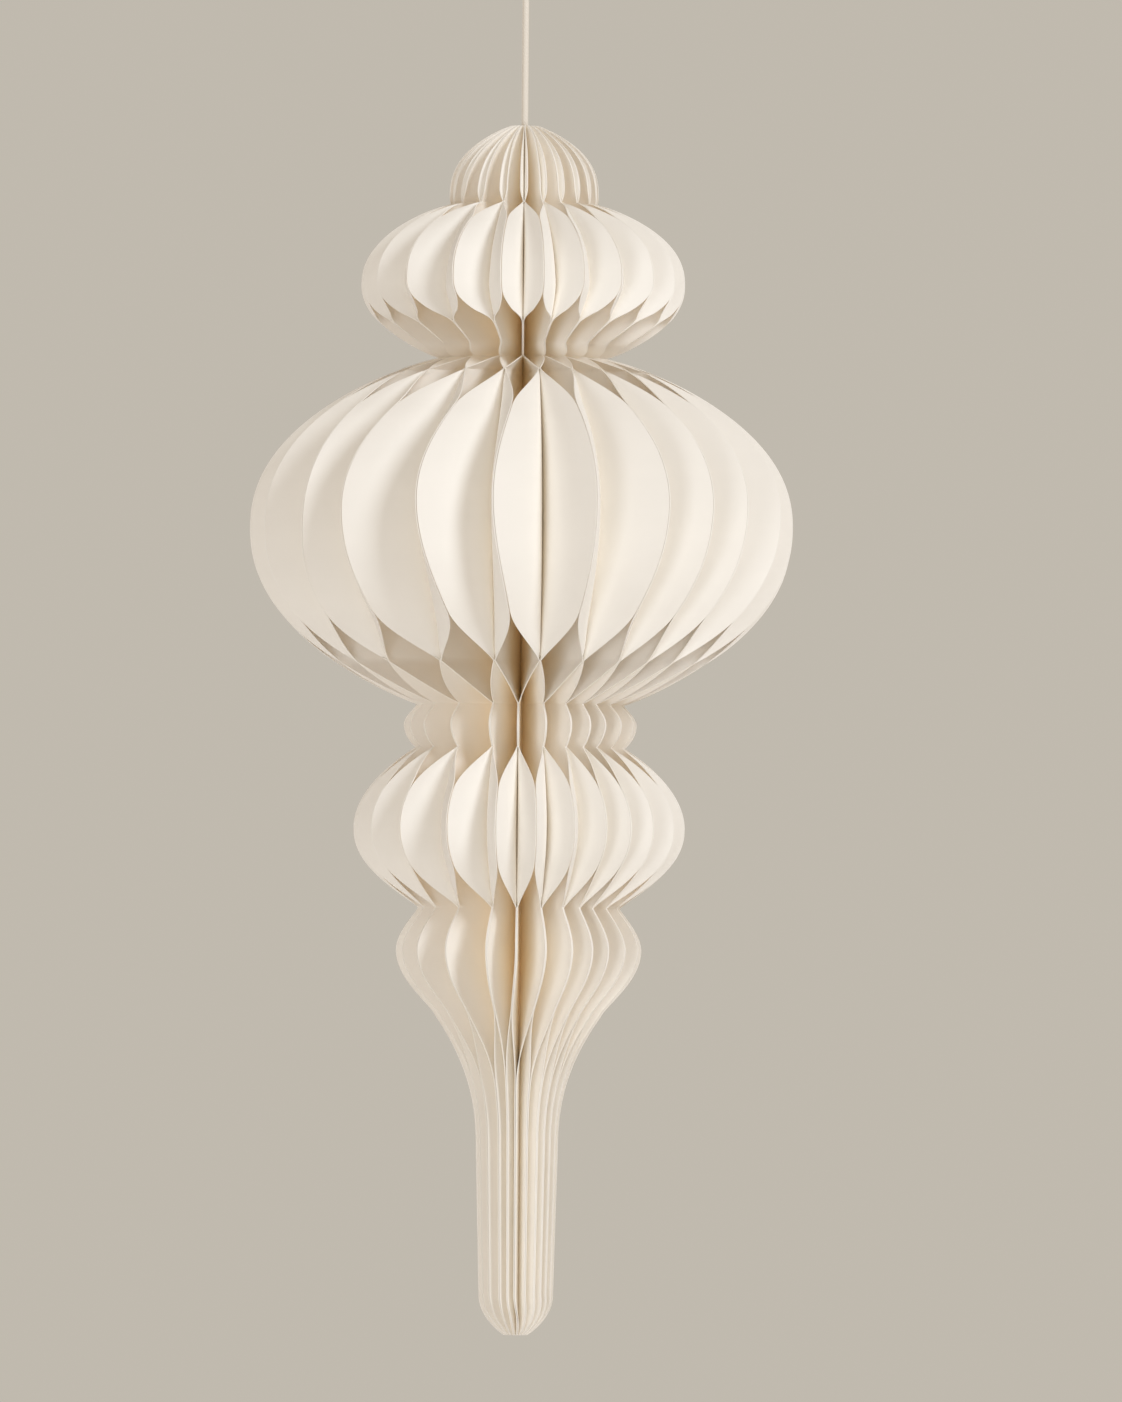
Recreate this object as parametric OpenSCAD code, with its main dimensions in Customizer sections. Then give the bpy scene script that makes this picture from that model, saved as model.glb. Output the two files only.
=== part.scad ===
// Honeycomb paper ornament, hung from a cord.
// Folded sheets, all cut to one turned outline, are sewn together along their folds and
// fanned round into a full circle. Neighbouring leaves are glued at the necks, so the
// paper opens into cells between them.
// Millimetres, Z up. The origin is the point inside the loop that hangs on a hook.
// Angles go round from the front, which is the side towards -Y, and grow towards +X.

/* [Paper] */
// Number of folded sheets in the fan
sheet_count = 24; // [20:1:26]
// Thickness of the paper
paper_t = 0.35; // [0.25:0.05:0.4]
// Thickness of the glue between two joined leaves
glue_gap = 0.06; // [0.04:0.01:0.08]
// How loosely the folds crowd round the spine, where 1 is packed solid
fold_ease = 1.3; // [1.25:0.05:1.6]

/* [Dome] */
// How far the crown of the paper stands out from the folds
crown_lip = 1.8; // [1.5:0.1:5]
// Widest radius of the dome
dome_r = 30.8; // [24:0.2:40]
// Height from the crown down to the widest part of the dome
dome_rise = 30; // [22:0.5:40]
// Height from the widest part of the dome down to the shoulder
dome_drop = 2.8; // [1.5:0.1:6]
// Radius of the shoulder under the dome
shoulder_r = 30.4; // [22:0.2:40]
// Height over which the dome's leaves spread below the crown
dome_open = 15; // [8:0.5:20]
// Height over which they come back together above the shoulder
dome_close = 6; // [4:0.5:8]

/* [Saucer] */
// Widest radius of the flat lantern under the dome
saucer_r = 67.2; // [50:0.2:85]
// Height from the shoulder down to the widest part of the saucer
saucer_rise = 33.5; // [24:0.5:45]
// Height from the widest part of the saucer down to the neck
saucer_drop = 30.2; // [22:0.5:45]
// Height over which its cells open below the shoulder
saucer_open = 7.8; // [4:0.2:10]
// Height over which its cells close again
saucer_close = 13; // [8:0.5:16]
// Radius of the neck between saucer and bulb
neck_r = 33.8; // [25:0.2:48]
// Height of the glued joints above the neck
neck_joint = 12; // [6:0.5:14]

/* [Bulb] */
// Widest radius of the large bulb
bulb_r = 112.5; // [85:0.5:135]
// Height from the neck down to the widest part of the bulb
bulb_rise = 70.7; // [50:0.5:90]
// Height from the widest part of the bulb down to the waist
bulb_drop = 72.4; // [50:0.5:90]
// Height from the neck down to the glued corners of the upper diamond cells
diamond_top = 6; // [4:0.5:10]
// Height from those corners down to the foot of the upper diamond cells
bulb_open = 16; // [8:0.2:18]
// Height from the head of the lower diamond cells down to their glued corners
bulb_close = 19.4; // [12:0.2:24]
// Height from those corners down to the waist
diamond_bottom = 16.6; // [10:0.2:22]
// Radius of the waist under the bulb
waist_r = 42.8; // [30:0.2:55]

/* [Ring] */
// Widest radius of the ring
ring_r = 48.2; // [40:0.2:62]
// Height from the waist down to the widest part of the ring
ring_rise = 8.7; // [5:0.1:14]
// Height from the widest part of the ring down to the collar
ring_drop = 9.3; // [5:0.1:14]
// Radius of the collar under the ring
collar_r = 43.4; // [30:0.2:55]

/* [Bead] */
// Widest radius of the bead
bead_r = 68.6; // [50:0.2:85]
// Height from the collar down to the widest part of the bead
bead_rise = 33.3; // [24:0.5:45]
// Height from the widest part of the bead down to the throat
bead_drop = 32.9; // [24:0.5:45]
// Height over which its cells open below the collar
bead_open = 18; // [10:0.5:24]
// Height over which its cells close again
bead_close = 17.8; // [10:0.5:24]
// Radius of the throat under the bead
throat_r = 41.8; // [30:0.2:52]

/* [Bell and stem] */
// Widest radius of the bell
bell_r = 50.8; // [42:0.2:64]
// Height from the throat down to the widest part of the bell
bell_rise = 17.2; // [10:0.2:26]
// Height from the widest part of the bell down to the middle of its flare
bell_drop = 27.3; // [18:0.1:38]
// Height from the widest part of the bell down to the end of its glued joints
bell_joint = 24.4; // [12:0.2:34]
// Height below those joints over which each sheet closes on itself
bell_close = 31.4; // [20:0.2:40]
// Radius at the middle of the flare
flare_r = 34.4; // [28:0.2:40]
// Height from the middle of the flare down to the straight stem
flare_drop = 53.7; // [40:0.1:70]
// Radius at the top of the straight stem
stem_r = 17; // [14:0.2:24]
// Length of the straight stem
stem_h = 61.6; // [30:0.2:90]
// Radius at the foot of the stem, above the rounded tip
foot_r = 15.4; // [12:0.2:20]
// Height of the rounded tip
tip_h = 16.5; // [10:0.5:24]
// How far the end of the tip stands out from the folds
tip_lip = 0.8; // [0.6:0.1:2]

/* [Cord] */
// Diameter of the hanging cord
cord_d = 2.8; // [1.5:0.1:3.2]
// Diameter of the knot under the loop
knot_d = 9.6; // [8.4:0.2:14]

/* [Hidden] */

// How the leaves are turned: 0 lies against the next sheet, 1 against its own other leaf
APART = 0;
TOGETHER = 1;
STEM_TURN = 0.9;
DOME_SWING = 0.35;

// How far each joint between two sheets leans from even spacing, in degrees, because the
// fan is opened by hand: from the shoulder to the neck, from the waist to the foot of the
// stem, how far its rim leans besides at the middle of the bulb, and how far it is pulled
// to the front besides just above the neck
upper_lean = [0, 0, 0, 1, 2, 1, 0, -1, -2, -3, -4, -5, -6, -7, -8, -9, -10, -11, -11, -12, -12, -12, -6, -1];
lower_lean = [-1, -2, -4, -8, -13, -15, -14, -14, -13, -13, -12, -12,
              -12, -11, -11, -11, -10, -10, -10, -10, -10, -10, -6, 0];
bulb_lean = [-5.5, 2, 4.5, 2.5, 0.5, 3, 1, 0, 1, -1, 0, 1, -1, 0, 1, 0, -1, 1, 0, 1, 1.5, 3.5, -5, -7];
neck_pull = [0, -4, -8, -11, -13.5, -8, -2, 0, 0, 0, 0, 0, 0, 0, 0, 0, 0, 0, 0, 1, 8, 12, 8, 5];

// The share of that pull that reaches the middle of the saucer, and how soon under the
// neck the bulb's rims lean, where 1 leans most halfway down and less is higher
SAUCER_PULL = 0.1;
BULB_SHIFT = 0.75;

// Cord route in millimetres, from the top of the loop down. The loop's points are those
// of its left side, and the right side mirrors them. The cord under the knot hangs
// straight, so its points are heights.
loop_route = [
    [0, 1.4], [-2.8, 0.8], [-5.4, -1.2], [-7.4, -4.4], [-8.5, -8.6], [-8.4, -13.2],
    [-7.4, -17.8], [-5.8, -22.4], [-4.0, -26.6], [-2.4, -30], [-1.7, -32.6], [-1.7, -34]
];
cord_route = [-40, -46, -52, -58, -64, -70, -76, -82, -88, -94, -100, -104];
cord_sides = 8;
crown_z = -102;

// The knot fills the space between the two routes, with flat ends for the strands
knot_top = loop_route[len(loop_route) - 1][1];
knot_h = knot_top - cord_route[0];
knot_end_r = cord_d + 0.5;
knot_bulge = knot_d / 2 - knot_end_r;
knot_arc_r = (pow(knot_bulge, 2) + pow(knot_h / 2, 2)) / (2 * knot_bulge);

// The folds stand in a ring that their own thickness sets, and the spine fills it
sheet_angle = 360 / sheet_count;
fold_r = fold_ease * sheet_count * (paper_t + glue_gap) / PI;
fold_back_r = fold_r - paper_t;
spine_clear = 0.1;
spine_r = fold_back_r * cos(sheet_angle / 2) - spine_clear;
spine_top = cord_route[len(cord_route) - 1];
spine_recess = 2;

// Depths below the crown of the outline's bends
shoulder_at = dome_rise + dome_drop;
saucer_at = shoulder_at + saucer_rise;
neck_at = saucer_at + saucer_drop;
bulb_at = neck_at + bulb_rise;
waist_at = bulb_at + bulb_drop;
ring_at = waist_at + ring_rise;
collar_at = ring_at + ring_drop;
bead_at = collar_at + bead_rise;
throat_at = bead_at + bead_drop;
bell_at = throat_at + bell_rise;
flare_at = bell_at + bell_drop;
stem_at = flare_at + flare_drop;
foot_at = stem_at + stem_h;
paper_h = foot_at + tip_h;

// Depths of the bulb's glued corners
upper_corner = neck_at + diamond_top;
lower_corner = waist_at - diamond_bottom;

// The outline: depth, radius, and the two powers that shape the curve down to the next
// bend, as (1 - u^a)^b, with u going from the wider bend to the narrower one
bends = [
    [0, fold_r + crown_lip, 2.6, 0.9],
    [dome_rise, dome_r, 2, 1],
    [shoulder_at, shoulder_r, 2.3, 0.85],
    [saucer_at, saucer_r, 2, 0.85],
    [neck_at, neck_r, 2.2, 0.8],
    [bulb_at, bulb_r, 2.2, 0.9],
    [waist_at, waist_r, 2, 1.4],
    [ring_at, ring_r, 2, 1],
    [collar_at, collar_r, 2, 1],
    [bead_at, bead_r, 2.2, 1.2],
    [throat_at, throat_r, 1.8, 1.2],
    [bell_at, bell_r, 2, 1.3],
    [flare_at, flare_r, 1, 2.2],
    [stem_at, stem_r, 1, 1],
    [foot_at, foot_r, 2, 0.9],
    [paper_h, fold_r + tip_lip, 1, 1]
];

// The zones of a leaf from crown to tip: depth of its top; length, rows and row spacing
// of its lead in; rows between; length and rows of its lead out; turn at its top and at
// its bottom; how far the rim swings across between the leads; and how many points its
// crease has between its two ends
zones = [
    [0, dome_open, 3, 2, 1, dome_close, 1, APART, APART, DOME_SWING, 0],
    [shoulder_at, saucer_open, 2, 1, 4, saucer_close, 2, APART, APART, 1, 1],
    [neck_at - neck_joint, 0, 0, 1, 2, 0, 0, APART, APART, 0, 0],
    [neck_at, 0, 0, 1, 1, 0, 0, APART, TOGETHER, 0, 0],
    [upper_corner, bulb_open, 2, 1, 6, bulb_close, 2, TOGETHER, TOGETHER, -1, 2],
    [lower_corner, 0, 0, 1, 1, 0, 0, TOGETHER, APART, 0, 0],
    [waist_at, 0, 0, 1, 2, 0, 0, APART, APART, 0, 0],
    [collar_at, bead_open, 2, 1, 2, bead_close, 2, APART, APART, 1, 1],
    [throat_at, 0, 0, 1, 4, 0, 0, APART, APART, 0, 0],
    [bell_at + bell_joint, 0, 0, 1, 3, 0, 0, APART, STEM_TURN, 0, 0],
    [bell_at + bell_joint + bell_close, 0, 0, 1, 1, 0, 0, STEM_TURN, STEM_TURN, 0, 0],
    [stem_at, 0, 0, 1, 1, 0, 0, STEM_TURN, STEM_TURN, 0, 0],
    [foot_at, tip_h, 3, 0.6, 0, 0, 0, STEM_TURN, STEM_TURN, 0, 0]
];
zone_count = len(zones);

// Counts of the points that one skin of a leaf has on its rim, creases and fold
rim_rows = rows_before(zone_count) + 1;
crease_rows = creases_before(zone_count);
fold_rows = zone_count + 1;
skin_points = rim_rows + crease_rows + fold_rows;

function sheet_name(i) = str("sheet_", i < 10 ? "0" : "", i);

function mix(a, b, t) = a + (b - a) * t;
function ramp(t) = sin(90 * min(1, max(0, t)));
function degrees_at(arc, r) = arc / r * 180 / PI;

// Radius of the outline at a depth
function bend_above(s) = max([for (i = [0 : len(bends) - 2]) if (s >= bends[i][0]) i]);
function outline(s) =
    let (
        upper = bends[bend_above(s)],
        lower = bends[bend_above(s) + 1],
        t = min(1, (s - upper[0]) / (lower[0] - upper[0])),
        u = upper[1] > lower[1] ? t : 1 - t,
        wide = max(upper[1], lower[1]),
        narrow = min(upper[1], lower[1])
    )
    mix(narrow, wide, pow(1 - pow(u, upper[2]), upper[3]));

// Parts of a zone
function zone_top(z) = z == zone_count ? paper_h : zones[z][0];
function zone_rows(z) = zones[z][2] + zones[z][4] + zones[z][6];
function zone_creases(z) = zones[z][10];
function is_cell(z) = zones[z][9] != 0;
function rows_before(z) = z == 0 ? 0 : rows_before(z - 1) + zone_rows(z - 1);
function creases_before(z) = z == 0 ? 0 : creases_before(z - 1) + zone_creases(z - 1);

// Depths of the rim's rows in a zone, without the row that starts the next one
function steps(from, to, count, spacing) =
    [for (i = [0 : 1 : count - 1]) mix(from, to, pow(i / count, spacing))];
function rim_depths(z) =
    let (top = zone_top(z), bottom = zone_top(z + 1), d = zones[z])
    concat(
        steps(top, top + d[1], d[2], d[3]),
        steps(top + d[1], bottom - d[5], d[4], 1),
        steps(bottom - d[5], bottom, d[6], 1)
    );

// How far a leaf is turned at its fold side and at its rim
function inner_turn(z, s) =
    mix(zones[z][7], zones[z][8], (s - zone_top(z)) / (zone_top(z + 1) - zone_top(z)));
function swing(z, s) =
    let (d = zones[z])
    is_cell(z) ? d[9] * min(ramp((s - zone_top(z)) / d[1]), ramp((zone_top(z + 1) - s) / d[5])) : 0;
function rim_turn(z, s) = inner_turn(z, s) + swing(z, s);

// Angle of the joint between sheet j and the next one, out in the paper, and how far the
// rim leans from it
function joint_angle(j, s) =
    let (
        k = j % sheet_count % len(upper_lean),
        upper = upper_lean[k],
        pull = neck_pull[k],
        lower = lower_lean[k]
    )
    j * sheet_angle + lookup(s, [
        [0, 0], [shoulder_at, upper], [saucer_at, upper + SAUCER_PULL * pull],
        [neck_at - neck_joint / 2, upper + pull], [neck_at, upper],
        [waist_at, lower], [foot_at, lower], [paper_h, 0]
    ]);
function rim_lean(j, s) =
    let (along = min(1, max(0, (s - neck_at) / (waist_at - neck_at))))
    bulb_lean[j % sheet_count % len(bulb_lean)] * pow(sin(180 * pow(along, BULB_SHIFT)), 2);

// A point of one skin of a leaf. Side 0 is the leaf beside joint j and side 1 the leaf
// beside joint j + 1. Inside is the skin that faces the sheet's own other leaf.
function skin_point(j, side, inside, s, r, turn, lean) =
    let (
        across = side == 0 ? 1 : -1,
        middle = (joint_angle(j, s) + joint_angle(j + 1, s)) / 2,
        apart = joint_angle(j + side, s) + lean + across * degrees_at(glue_gap / 2 + inside * paper_t, r),
        together = middle - across * degrees_at(glue_gap / 2 + (1 - inside) * paper_t, r)
    )
    polar(mix(apart, together, turn), r, s);
function rim_point(j, side, inside, z, s) =
    skin_point(j, side, inside, s, outline(s), rim_turn(z, s), rim_lean(j + side, s));
function polar(angle, r, s) = [r * sin(angle), -r * cos(angle), crown_z - s];

// A point of the fold: its back corners lie against the joints, its inside halfway
function fold_point(j, side, inside, s) =
    let (
        across = side == 0 ? 1 : -1,
        back = (j + side) * sheet_angle + across * degrees_at(glue_gap / 2, fold_back_r)
    )
    inside == 1 ? polar((j + 0.5) * sheet_angle, fold_r, s) : polar(back, fold_back_r, s);

// The points of one skin: rim, creases and fold, each from crown to tip
function skin(j, side, inside) =
    concat(
        [for (z = [0 : zone_count - 1]) for (s = rim_depths(z)) rim_point(j, side, inside, z, s)],
        [rim_point(j, side, inside, zone_count - 1, paper_h)],
        [for (z = [0 : zone_count - 1]) for (i = [1 : 1 : zone_creases(z)])
            let (
                t = i / (zone_creases(z) + 1),
                s = mix(zone_top(z), zone_top(z + 1), t),
                r = mix(outline(zone_top(z)), outline(zone_top(z + 1)), t)
            )
            skin_point(j, side, inside, s, r, inner_turn(z, s), 0)],
        [for (z = [0 : zone_count]) fold_point(j, side, inside, zone_top(z))]
    );

// Numbers of the points in a sheet's list. The skins stand in the order outer and inner
// of side 0, then inner and outer of side 1, and both inner skins share one fold line.
function block(side, inside) = side == 0 ? inside : 3 - inside;
function rim(side, inside, row) = block(side, inside) * skin_points + row;
function crease(side, inside, row) = rim(side, inside, rim_rows + row);
function fold(side, inside, row) = rim(inside == 1 ? 0 : side, inside, rim_rows + crease_rows + row);

// Triangles between two lines of points that run down side by side, with a on the left
function stitch(a, b, i = 0, j = 0) =
    let (
        more_a = i < len(a) - 1,
        more_b = j < len(b) - 1,
        a_first = (i + 0.5) * (len(b) - 1) <= (j + 0.5) * (len(a) - 1)
    )
    !more_a && !more_b ? []
    : more_a && (!more_b || a_first) ? concat([[a[i], b[j], a[i + 1]]], stitch(a, b, i + 1, j))
    : concat([[a[i], b[j], b[j + 1]]], stitch(a, b, i, j + 1));
function stitch_if(turned, a, b) =
    turned ? [for (face = stitch(a, b)) reversed(face)] : stitch(a, b);

// Triangles of one skin. In a cell the leaf bends at a straight crease between the two
// points where the cell meets the rim.
function skin_faces(side, inside) =
    let (turned = side != inside)
    [for (z = [0 : zone_count - 1])
        let (
            first = rows_before(z),
            last = rows_before(z + 1),
            rim_line = [for (row = [first : last]) rim(side, inside, row)],
            fold_line = [fold(side, inside, z), fold(side, inside, z + 1)],
            inner_rim = [for (row = [first + 1 : last - 1]) rim(side, inside, row)],
            crease_line = concat(
                [rim(side, inside, first)],
                [for (i = [1 : 1 : zone_creases(z)]) crease(side, inside, creases_before(z) + i - 1)],
                [rim(side, inside, last)]
            ),
            faces = is_cell(z)
                ? concat(
                    stitch_if(turned, crease_line, inner_rim),
                    stitch_if(turned, fold_line, crease_line)
                )
                : stitch_if(turned, fold_line, rim_line)
        )
        each faces];

// Triangles of the cut edges: the two rims, the back of the fold and both ends
function rim_line(side, inside) = [for (row = [0 : rim_rows - 1]) rim(side, inside, row)];
function fold_line(side) = [for (row = [0 : fold_rows - 1]) fold(side, 0, row)];
function end_faces(rim_row, fold_row) = [
    [fold(0, 0, fold_row), fold(0, 1, fold_row), rim(0, 1, rim_row), rim(0, 0, rim_row)],
    [fold(0, 1, fold_row), fold(1, 0, fold_row), rim(1, 0, rim_row), rim(1, 1, rim_row)],
    [fold(0, 0, fold_row), fold(1, 0, fold_row), fold(0, 1, fold_row)]
];
function reversed(list) = [for (i = [len(list) - 1 : -1 : 0]) list[i]];
function sheet_faces() = concat(
    skin_faces(0, 0),
    skin_faces(0, 1),
    skin_faces(1, 1),
    skin_faces(1, 0),
    stitch(rim_line(0, 0), rim_line(0, 1)),
    stitch(rim_line(1, 1), rim_line(1, 0)),
    stitch(fold_line(1), fold_line(0)),
    end_faces(0, 0),
    [for (face = end_faces(rim_rows - 1, fold_rows - 1)) reversed(face)]
);

// One sheet, folded at the spine, with a leaf to each side
module folded_sheet(i) {
    points = concat(skin(i - 1, 0, 0), skin(i - 1, 0, 1), skin(i - 1, 1, 1), skin(i - 1, 1, 0));
    color("ivory")
        polyhedron(points, sheet_faces(), convexity = 10);
}

// The sewn and glued backs of all the folds, which carry the paper
module spine_binding() {
    spine_bottom = crown_z - paper_h + spine_recess;
    color("wheat")
        translate([0, 0, spine_bottom])
            cylinder(r = spine_r, h = spine_top - spine_bottom, $fn = 48);
}

// A round cord swept along a route that lies in the XZ plane
module cord_along(route) {
    last = len(route) - 1;
    points = [for (k = [0 : last])
        let (
            ahead = route[min(last, k + 1)] - route[max(0, k - 1)],
            across = cross([0, 1, 0], ahead / norm(ahead))
        )
        for (i = [0 : cord_sides - 1])
            let (turn = 360 * i / cord_sides)
            route[k] + cord_d / 2 * (cos(turn) * across + sin(turn) * [0, 1, 0])];
    walls = [for (k = [0 : last - 1]) for (i = [0 : cord_sides - 1])
        let (next = (i + 1) % cord_sides, ring = k * cord_sides)
        [ring + i, ring + cord_sides + i, ring + cord_sides + next, ring + next]];
    start = [for (i = [0 : cord_sides - 1]) i];
    end = reversed([for (i = start) last * cord_sides + i]);
    polyhedron(points, concat(walls, [start, end]), convexity = 4);
}

// The taut cord from the knot down into the crown
module hanging_cord() {
    color("linen")
        cord_along([for (z = cord_route) [0, 0, z]]);
}

// The knot that closes the loop
module loop_knot() {
    color("linen")
        translate([0, 0, knot_top - knot_h / 2])
            rotate_extrude($fn = 48)
                intersection() {
                    translate([knot_d / 2 - knot_arc_r, 0])
                        circle(r = knot_arc_r, $fn = 64);
                    translate([0, -knot_h / 2])
                        square([knot_d, knot_h]);
                }
}

// The loop that goes over a hook, with both strands standing on the knot
module hanging_loop() {
    left = [for (p = reversed(loop_route)) [p[0], 0, p[1]]];
    right = [for (i = [1 : len(loop_route) - 1]) [-loop_route[i][0], 0, loop_route[i][1]]];
    color("linen")
        cord_along(concat(left, right));
}

for (i = [1 : sheet_count])
    folded_sheet(i);
spine_binding();
hanging_cord();
loop_knot();
hanging_loop();
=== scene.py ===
"""Dresses a hung honeycomb paper decoration: folded sheets, binding, cord, knot and loop."""

import math

import bmesh
import bpy
import numpy as np
from bpy.props import FloatProperty, FloatVectorProperty, IntProperty, PointerProperty
from mathutils import Matrix, Vector


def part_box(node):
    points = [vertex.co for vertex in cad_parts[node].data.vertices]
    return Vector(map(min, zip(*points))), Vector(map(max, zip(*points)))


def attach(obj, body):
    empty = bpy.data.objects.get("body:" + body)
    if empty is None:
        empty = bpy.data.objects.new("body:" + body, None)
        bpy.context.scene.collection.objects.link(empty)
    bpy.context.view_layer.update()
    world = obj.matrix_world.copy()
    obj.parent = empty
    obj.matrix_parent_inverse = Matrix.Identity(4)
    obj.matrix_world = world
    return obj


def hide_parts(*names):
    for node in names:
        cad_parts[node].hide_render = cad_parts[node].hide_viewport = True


bl_info = {
    "name": "Honeycomb Paper Decoration",
    "version": (1, 0, 0),
    "blender": (4, 5, 0),
    "location": "3D Viewport > Sidebar > Decoration",
    "description": "Folded sheets of card, fanned round a cord, with a plain stage",
    "category": "Add Mesh",
}

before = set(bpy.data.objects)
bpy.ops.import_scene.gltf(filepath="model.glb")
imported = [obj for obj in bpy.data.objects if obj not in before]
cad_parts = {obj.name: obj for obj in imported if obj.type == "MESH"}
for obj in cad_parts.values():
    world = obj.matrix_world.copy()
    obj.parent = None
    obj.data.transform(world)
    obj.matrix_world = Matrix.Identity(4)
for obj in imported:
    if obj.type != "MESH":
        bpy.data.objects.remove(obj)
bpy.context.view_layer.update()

MM = 0.001
SHEET_NAMES = sorted(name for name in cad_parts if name.startswith("sheet_"))
SHEET_COUNT = len(SHEET_NAMES)
SHEET_ANGLE = 360 / SHEET_COUNT
PAPER_LOW, PAPER_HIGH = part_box(SHEET_NAMES[0])
CROWN_Z = PAPER_HIGH.z / MM
CORD_LOW, CORD_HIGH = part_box("hanging_cord")
KNOT_LOW, KNOT_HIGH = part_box("loop_knot")

# The ring that the folds stand on, in millimetres: front and back face of the card there
FOLD_R = 4.0717
FOLD_BACK_R = 3.7217

# Depths of the main bends below the crown, in millimetres
SHOULDER, SAUCER, NECK, WAIST = 32.8, 66.3, 96.5, 239.6
BELL, BELL_END, FOOT, PAPER_H = 257.6, 323.8, 483.6, 500.1

# The outline of every sheet in millimetres: depth below the crown, radius, and the two
# powers of the curve down to the next bend
BENDS = [
    (0, FOLD_R + 1.8, 2.6, 0.9),
    (30, 30.8, 2, 1),
    (SHOULDER, 30.4, 2.3, 0.85),
    (SAUCER, 67.2, 2, 0.85),
    (NECK, 33.8, 2.2, 0.8),
    (167.2, 112.5, 2.2, 0.9),
    (WAIST, 42.8, 2, 1.4),
    (248.3, 48.2, 2, 1),
    (BELL, 43.4, 2, 1),
    (290.9, 68.6, 2.2, 1.2),
    (BELL_END, 41.8, 1.8, 1.2),
    (341.0, 50.8, 2, 1.3),
    (368.3, 34.4, 1, 2.2),
    (422.0, 17, 1, 1),
    (FOOT, 15.4, 2, 0.9),
    (PAPER_H, FOLD_R + 0.8, 1, 1),
]

# Turn of the leaves down the stem, almost against the sheet's own other leaf
STEM_TURN = 0.97

# Zones from crown to tip: depth of the top, lengths over which its cells open and close,
# turn at the top and at the bottom (0 beside the next sheet, 1 against the sheet's own
# other leaf), how far the rim swings between, and the powers that shape both ends
ZONES = [
    (0, 15, 6, 0, 0, 0.35, 1, 1),
    (SHOULDER, 7.8, 13, 0, 0, 1, 1, 1),
    (84.5, 0, 0, 0, 0, 0, 1, 1),
    (NECK, 0, 0, 0, 1, 0, 0.85, 1),
    (102.5, 16, 19.4, 1, 1, -1, 1, 1),
    (223.0, 0, 0, 1, 0, 0, 1, 0.85),
    (WAIST, 0, 0, 0, 0, 0, 1, 1),
    (BELL, 18, 17.8, 0, 0, 1, 1, 1),
    (BELL_END, 0, 0, 0, 0, 0, 1, 1),
    (365.4, 0, 0, 0, STEM_TURN, 0, 1, 1),
    (396.8, 0, 0, STEM_TURN, STEM_TURN, 0, 1, 1),
    (PAPER_H, 0, 0, STEM_TURN, STEM_TURN, 0, 1, 1),
]

# Length in millimetres over which the saucer's rims settle before its underside
SAUCER_SETTLE = 6

# How far each joint between two sheets leans from even spacing, in degrees, from the front
# one round to the right: above the neck, and from the waist to the foot
UPPER_LEAN = [0, 0, 0, 1, 2, 1, 0, -1, -2, -3, -4, -5,
              -6, -7, -8, -9, -10, -11, -11, -12, -12, -12, -6, -1]
LOWER_LEAN = [-1, -2, -4, -8, -13, -15, -14, -14, -13, -13, -12, -12,
              -12, -11, -11, -11, -10, -10, -10, -10, -10, -10, -6, 0]

# What is added to that under the saucer, in degrees, the share that its widest part already
# has, and the depths where it is whole and where it has gone
NECK_PULL = [0, -4, -8, -11, -13.5, -8, -2, 0, 0, 0, 0, 0, 0, 0, 0, 0, 0, 0, 0, 1, 8, 12, 8, 5]
SAUCER_PULL = 0.1
NECK_PULL_AT = 90.5
NECK_PULL_END = NECK + 1

# What is added to the rims of the bulb, in degrees, and the power that lifts its middle
BULB_LEAN = [-5.5, 2, 4.5, 2.5, 0.5, 3, 1, 0, 1, -1, 0, 1, -1, 0, 1, 0, -1, 1, 0, 1, 1.5, 3.5, -5, -7]
BULB_SHIFT = 0.75

# What is added at the front of the stem, in degrees by joint, and the depths it sets in over
STEM_PULL = {0: -9, 1: -7.5, 2: -3, 3: -1, 23: -1.5}
STEM_FROM, STEM_BY = 341, 405

# The crease of a leaf: the least width beyond it in millimetres and as a share of the leaf,
# and the width over which the crease takes the turn of its zone
LEAST_FLARE = 6.5
LEAST_SHARE = 0.6
GRIP_RUN = 4

# How a leaf is meshed: steps from its fold to its crease and from there to its rim, the
# length in millimetres and the bend in degrees that one row may take, the most bend that
# counts in one fine step, and the number of fine steps
INNER_STEPS = 3
OUTER_STEPS = 9
ROW_LENGTH = 3.8
ROW_BEND = 6.0
MOST_BEND = 3
FINE_STEPS = 40001

# Where warm shade is painted into the card's colour down in the creases, in millimetres: how far behind
# the rim, and inside which radius, with the width over which that sets in
SHADE_FADE_BEHIND_RIM = 22
SHADE_INSIDE_R = 75
SHADE_RUN = 45

# Finish of each grained material: roughness, fineness of its fibres and how far they stand up
CARD_FINISH = (0.78, 1600, 0.12)
EDGE_FINISH = (0.85, 2200, 0.2)
BINDING_FINISH = (0.8, 700, 0.4)
CLOUD_FINENESS = 60
CLOUD_DETAIL, FIBRE_DETAIL, FIBRE_ROUGHNESS = 3, 4, 0.6
CLOUD_LOW, CLOUD_HIGH = 0.965, 1.035
RELIEF = 0.1 * MM
SHINE = 0.25

# Depth from which the painted warm shade of the creases sets in, on the card's own scale from 0 to 1
SHADE_MASK_FROM = 0.25

# Finish of the cord: roughness, sheen, the fineness of its twist and how far that stands up
CORD_ROUGHNESS, CORD_SHEEN = 0.7, 0.2
TWIST_FINENESS, TWIST_RELIEF = 420, 0.35

# Edges that bend more than this stay sharp
SHARP_CARD = math.radians(40)
SHARP_CORD = math.radians(50)

# Points closer than this are one, in metres
MERGE_DISTANCE = 1e-7

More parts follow.
